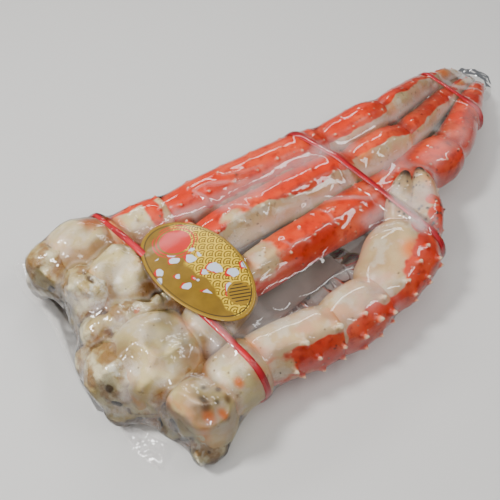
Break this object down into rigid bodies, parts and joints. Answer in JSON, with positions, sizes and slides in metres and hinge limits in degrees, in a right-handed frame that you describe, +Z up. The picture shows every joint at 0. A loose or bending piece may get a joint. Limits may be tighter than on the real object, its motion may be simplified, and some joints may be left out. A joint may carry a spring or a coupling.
{
  "type": "frozen king crab section",
  "caption": "Vacuum-packed section of red king crab for display: spiny walking legs and a claw joined at a cream shoulder, tied with flat red bands, with a plain oval label.",
  "frame": {"origin": "middle of the bounding box's underside, on the table under the bundle", "axes": "+X from the cut shoulder to the tips of the legs, +Y across the bundle towards the rear leg, +Z up from the table"},
  "size_m": [0.5005, 0.2227, 0.0608],
  "materials": {
    "shell_red": "wet-looking spiny shell, red-orange above and cream below",
    "shell_cream": "smooth cream shell, a little translucent",
    "meat": "frozen ivory meat with a wet shine",
    "band": "flat red band",
    "label": "glossy gold paper with a plain pattern",
    "film": "clear glossy film",
    "slip": "plain grey card"
  },
  "bodies": {
    "root": {"rear_coxa": "shell_cream", "rear_ischium": "shell_cream", "rear_merus": "shell_red", "rear_carpus": "shell_red", "rear_propodus": "shell_red", "rear_dactylus": "shell_red", "middle_coxa": "shell_cream", "middle_ischium": "shell_cream", "middle_merus": "shell_red", "middle_carpus": "shell_red", "middle_propodus": "shell_red", "middle_dactylus": "shell_red", "front_coxa": "shell_cream", "front_ischium": "shell_cream", "front_merus": "shell_red", "front_carpus": "shell_red", "front_propodus": "shell_red", "front_dactylus": "shell_red", "claw_coxa": "shell_cream", "claw_ischium": "shell_cream", "claw_merus": "shell_red", "claw_carpus": "shell_red", "claw_palm": "shell_red", "claw_dactylus": "shell_red", "rear_body_meat": "meat", "middle_body_meat": "meat", "front_body_meat": "meat", "claw_body_meat": "meat", "band_shoulder": "band", "band_middle": "band", "band_tips": "band", "label": "label", "film_shoulder": "film", "film_tips": "film", "inner_slip": "slip"}
  },
  "joints": []
}
